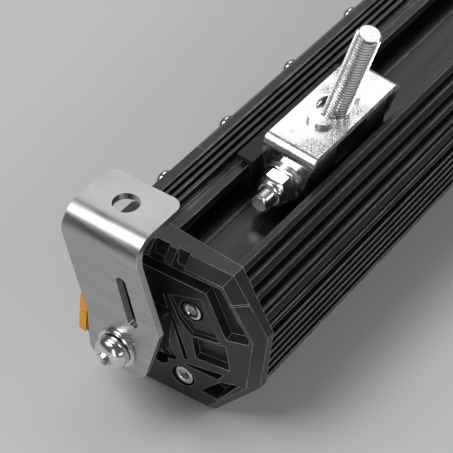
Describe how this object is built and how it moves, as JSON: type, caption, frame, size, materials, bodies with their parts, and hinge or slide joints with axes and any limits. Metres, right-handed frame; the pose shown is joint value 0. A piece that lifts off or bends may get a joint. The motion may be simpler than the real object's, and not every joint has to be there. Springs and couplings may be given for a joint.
{
  "type": "led light bar",
  "caption": "Straight finned LED light bar for a vehicle, with swivelling end brackets and tilting stud mounts that slide in a channel along the housing.",
  "frame": {"origin": "under the middle of the bar, on the plane that it rests on as it lies mounting side up", "axes": "+X along the bar, -Y out of the lens, +Y out of the finned back, +Z out of the mounting channel"},
  "size_m": [0.6008, 0.0769, 0.1335],
  "materials": {
    "anodised_black": "black hard-anodised aluminium extrusion, semi-gloss",
    "bezel_black": "black powder-coated aluminium, fine satin",
    "cap_black": "black powder-coated die casting, satin",
    "polished_steel": "turned stainless steel, bright",
    "lens_clear": "clear hard-coated polycarbonate",
    "rubber_black": "black silicone rubber",
    "reflector_bright": "vacuum-metallised reflector",
    "board_white": "white solder mask over an aluminium-core board",
    "phosphor": "yellow phosphor over the LED chips",
    "pad_grey": "grey thermally conductive pad",
    "board_green": "green circuit board",
    "component_black": "black component bodies",
    "nylon_black": "black nylon",
    "accent_orange": "moulded orange plastic",
    "insert_brass": "machined brass",
    "block_black": "black glass-filled nylon",
    "zinc_bright": "bright zinc-plated steel",
    "nylon_white": "white nylon locking ring",
    "brushed_stainless": "brushed stainless steel sheet"
  },
  "bodies": {
    "bar": {"housing_extrusion": "anodised_black", "front_bezel": "bezel_black", "bezel_end_right": "bezel_black", "bezel_end_left": "bezel_black", "bezel_screws": "polished_steel", "lens": "lens_clear", "lens_gasket": "rubber_black", "reflector_tray": "reflector_bright", "led_board": "board_white", "led_emitters": "phosphor", "thermal_pad": "pad_grey", "driver_board": "board_green", "driver_components": "component_black", "cable_gland": "nylon_black", "breather_vent": "nylon_black", "end_cap_right": "cap_black", "end_cap_gasket_right": "rubber_black", "end_cap_screws_right": "polished_steel", "accent_inserts_right": "accent_orange", "pivot_insert_right": "insert_brass", "friction_washer_right": "rubber_black", "pivot_flat_washer_right": "polished_steel", "pivot_spring_washer_right": "polished_steel", "pivot_bolt_right": "polished_steel", "end_cap_left": "cap_black", "end_cap_gasket_left": "rubber_black", "end_cap_screws_left": "polished_steel", "accent_inserts_left": "accent_orange", "pivot_insert_left": "insert_brass", "friction_washer_left": "rubber_black", "pivot_flat_washer_left": "polished_steel", "pivot_spring_washer_left": "polished_steel", "pivot_bolt_left": "polished_steel"},
    "end_bracket_right": {"end_bracket_right": "brushed_stainless"},
    "mount_slider_right": {"sliding_block_right": "block_black", "mount_bolt_right": "zinc_bright", "mount_washers_right": "zinc_bright", "lock_nut_right": "zinc_bright", "lock_nut_ring_right": "nylon_white"},
    "mount_bracket_right": {"u_bracket_right": "zinc_bright"},
    "mount_stud_right": {"mount_stud_right": "zinc_bright"},
    "end_bracket_left": {"end_bracket_left": "brushed_stainless"},
    "mount_slider_left": {"sliding_block_left": "block_black", "mount_bolt_left": "zinc_bright", "mount_washers_left": "zinc_bright", "lock_nut_left": "zinc_bright", "lock_nut_ring_left": "nylon_white"},
    "mount_bracket_left": {"u_bracket_left": "zinc_bright"},
    "mount_stud_left": {"mount_stud_left": "zinc_bright"}
  },
  "joints": [
    {"name": "end_bracket_right_pivot", "type": "hinge", "parent": "bar", "child": "end_bracket_right", "pos_m": [0.29, -0.0092, 0.039], "axis": [1, 0, 0], "range_deg": [-90, 90]},
    {"name": "mount_slide_right", "type": "slide", "parent": "bar", "child": "mount_slider_right", "axis": [1, 0, 0], "range_m": [-0.13, 0.03]},
    {"name": "mount_tilt_right", "type": "hinge", "parent": "mount_slider_right", "child": "mount_bracket_right", "pos_m": [0.1784, 0.004, 0.0721], "axis": [1, 0, 0], "range_deg": [-15, 15]},
    {"name": "stud_sway_right", "type": "hinge", "parent": "mount_bracket_right", "child": "mount_stud_right", "pos_m": [0.1784, 0.00534, 0.08779], "axis": [1, 0, 0], "range_deg": [0, 20.4]},
    {"name": "end_bracket_left_pivot", "type": "hinge", "parent": "bar", "child": "end_bracket_left", "pos_m": [-0.29, -0.0092, 0.039], "axis": [1, 0, 0], "range_deg": [-90, 90]},
    {"name": "mount_slide_left", "type": "slide", "parent": "bar", "child": "mount_slider_left", "axis": [-1, 0, 0], "range_m": [-0.13, 0.03]},
    {"name": "mount_tilt_left", "type": "hinge", "parent": "mount_slider_left", "child": "mount_bracket_left", "pos_m": [-0.1784, 0.004, 0.0721], "axis": [1, 0, 0], "range_deg": [-15, 15]},
    {"name": "stud_sway_left", "type": "hinge", "parent": "mount_bracket_left", "child": "mount_stud_left", "pos_m": [-0.1784, 0.00534, 0.08779], "axis": [1, 0, 0], "range_deg": [0, 20.4]}
  ]
}
